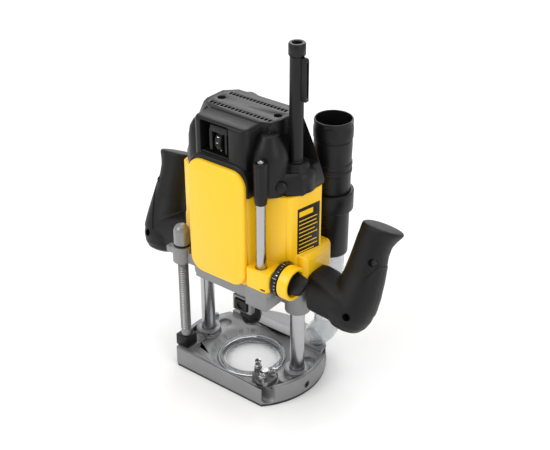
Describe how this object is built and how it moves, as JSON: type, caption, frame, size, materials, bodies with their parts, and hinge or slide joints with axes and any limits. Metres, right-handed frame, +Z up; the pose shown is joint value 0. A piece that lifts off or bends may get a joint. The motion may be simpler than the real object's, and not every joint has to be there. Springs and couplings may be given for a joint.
{
  "type": "plunge router",
  "caption": "Two-column plunge router with a motor carriage, side handles, depth stop turret, height screw and telescoping dust tube.",
  "frame": {"origin": "centre of the sole's opening, on the underside of the sole", "axes": "+Z up along the columns and the spindle, +X along the two handles, -Y towards the flat edge of the base"},
  "size_m": [0.3208, 0.1462, 0.402],
  "materials": {
    "yellow": "satin moulded, slightly mottled",
    "black_plastic": "fine moulded texture",
    "black_grip": "matte overmoulded grip",
    "black_rubber": "smooth",
    "cast_grey": "die-cast, satin",
    "chrome": "ground and polished",
    "steel": "bright",
    "bright_screw": "zinc plated",
    "dark_steel": "blackened",
    "grey_knob": "satin grey",
    "clear": "clear moulded polycarbonate",
    "phenolic": "flat sheet",
    "bronze": "plain bush metal",
    "copper": "varnished copper",
    "copper_core": "wound laminations",
    "lamination": "stacked laminations",
    "bearing": "ground",
    "carbon": "carbon block"
  },
  "bodies": {
    "base": {"sole_plate": "phenolic", "sole_screws": "steel", "turret_pivot": "steel", "base_casting": "cast_grey", "clear_shroud": "clear", "column_right": "chrome", "column_left": "chrome", "return_springs": "steel", "clamp_grubs": "dark_steel", "dust_hood": "clear", "dust_inner_tube": "clear", "screw_foot_block": "black_plastic"},
    "height_adjuster": {"height_screw": "bright_screw", "height_knob": "grey_knob"},
    "turret": {"turret_hub": "cast_grey", "turret_screws": "steel", "turret_nuts": "dark_steel"},
    "carriage": {"carriage_casting": "cast_grey", "column_bushes": "bronze", "spindle_lock_housing": "cast_grey", "motor_housing": "yellow", "front_plate": "yellow", "top_cap": "black_plastic", "cap_screws": "dark_steel", "cord_guard": "black_rubber", "dust_outer_tube": "black_plastic", "dust_bracket": "black_plastic", "handle_right_front": "black_grip", "handle_right_rear": "black_grip", "handle_left_front": "black_grip", "handle_left_rear": "black_grip", "handle_screws": "dark_steel", "trigger_switch": "black_plastic", "motor_stator": "lamination", "field_coils": "copper", "lower_bearing": "bearing", "upper_bearing": "bearing", "brush_holders": "bronze", "carbon_brushes": "carbon", "speed_module": "black_plastic"},
    "spindle": {"armature_shaft": "steel", "armature_core": "copper_core", "cooling_fan": "black_plastic", "commutator": "copper", "collet_nut": "dark_steel", "collet": "steel"},
    "spindle_lock": {"spindle_lock_button": "black_plastic"},
    "depth_slide": {"depth_rod": "chrome"},
    "depth_end": {"depth_tip": "steel"},
    "depth_fine": {"fine_adjust_knob": "black_plastic"},
    "depth_drive": {"depth_pinion": "steel", "depth_knob": "yellow"},
    "depth_zero": {"depth_scale_ring": "black_plastic"},
    "depth_lock": {"depth_lock_wing": "black_plastic"},
    "dial": {"speed_dial": "grey_knob"},
    "trigger_body": {"trigger": "black_plastic"},
    "lock_on": {"lock_on_button": "black_plastic"},
    "plunge_lock": {"plunge_lock_lever": "black_plastic", "plunge_lock_screw": "steel"},
    "height_release": {"height_release_tab": "grey_knob"}
  },
  "joints": [
    {"name": "plunge", "type": "slide", "parent": "base", "child": "carriage", "axis": [0, 0, 1], "range_m": [-0.078, 0], "stiffness_N_per_m": 900, "springref_m": 0.1, "deforming": ["return_springs"]},
    {"name": "spindle_spin", "type": "hinge", "parent": "carriage", "child": "spindle", "pos_m": [0, 0, 0.08], "axis": [0, 0, 1], "continuous": true},
    {"name": "spindle_lock_press", "type": "slide", "parent": "carriage", "child": "spindle_lock", "axis": [0, 1, 0], "range_m": [0, 0.004], "stiffness_N_per_m": 800, "springref_m": -0.004},
    {"name": "depth_knob_turn", "type": "hinge", "parent": "carriage", "child": "depth_drive", "pos_m": [0.0515, -0.0345, 0.157], "axis": [1, 0, 0], "range_deg": [-70, 114]},
    {"name": "depth_rod_slide", "type": "slide", "parent": "carriage", "child": "depth_slide", "axis": [0, 0, 1], "range_m": [-0.013, 0.008]},
    {"name": "zero_ring_turn", "type": "hinge", "parent": "depth_drive", "child": "depth_zero", "pos_m": [0.0695, -0.0345, 0.157], "axis": [1, 0, 0], "continuous": true},
    {"name": "depth_lock_turn", "type": "hinge", "parent": "depth_drive", "child": "depth_lock", "pos_m": [0.0815, -0.0345, 0.157], "axis": [1, 0, 0], "range_deg": [-60, 0]},
    {"name": "fine_adjust_turn", "type": "hinge", "parent": "depth_slide", "child": "depth_fine", "pos_m": [0.0515, -0.0455, 0.26], "axis": [0, 0, 1], "range_deg": [-1440, 0]},
    {"name": "depth_tip_slide", "type": "slide", "parent": "depth_slide", "child": "depth_end", "axis": [0, 0, 1], "range_m": [-0.004, 0]},
    {"name": "turret_turn", "type": "hinge", "parent": "base", "child": "turret", "pos_m": [0.0476, -0.0363, 0.02], "axis": [0, 0, 1], "continuous": true},
    {"name": "speed_dial_turn", "type": "hinge", "parent": "carriage", "child": "dial", "pos_m": [-0.001, -0.037, 0.297], "axis": [1, 0, 0], "range_deg": [-120, 150]},
    {"name": "trigger_squeeze", "type": "slide", "parent": "carriage", "child": "trigger_body", "axis": [0, -0.9111, 0.4122], "range_m": [0, 0.005], "stiffness_N_per_m": 900, "springref_m": -0.004},
    {"name": "lock_on_press", "type": "slide", "parent": "carriage", "child": "lock_on", "axis": [0, -0.9111, 0.4122], "range_m": [0, 0.003], "stiffness_N_per_m": 800, "springref_m": -0.003},
    {"name": "plunge_lock_turn", "type": "hinge", "parent": "carriage", "child": "plunge_lock", "pos_m": [-0.065, 0.03, 0.112], "axis": [0, 1, 0], "range_deg": [-10, 25]},
    {"name": "height_screw_turn", "type": "hinge", "parent": "base", "child": "height_adjuster", "pos_m": [-0.066, -0.038, 0.1], "axis": [0, 0, 1], "continuous": true},
    {"name": "height_release_press", "type": "slide", "parent": "carriage", "child": "height_release", "axis": [1, 0, 0], "range_m": [0, 0.003], "stiffness_N_per_m": 600, "springref_m": -0.003}
  ],
  "couplings": [
    {"joint": "depth_rod_slide", "follows": "depth_knob_turn", "m_per_rad": -0.0065},
    {"joint": "depth_tip_slide", "follows": "fine_adjust_turn", "m_per_rad": 0.00015915}
  ]
}
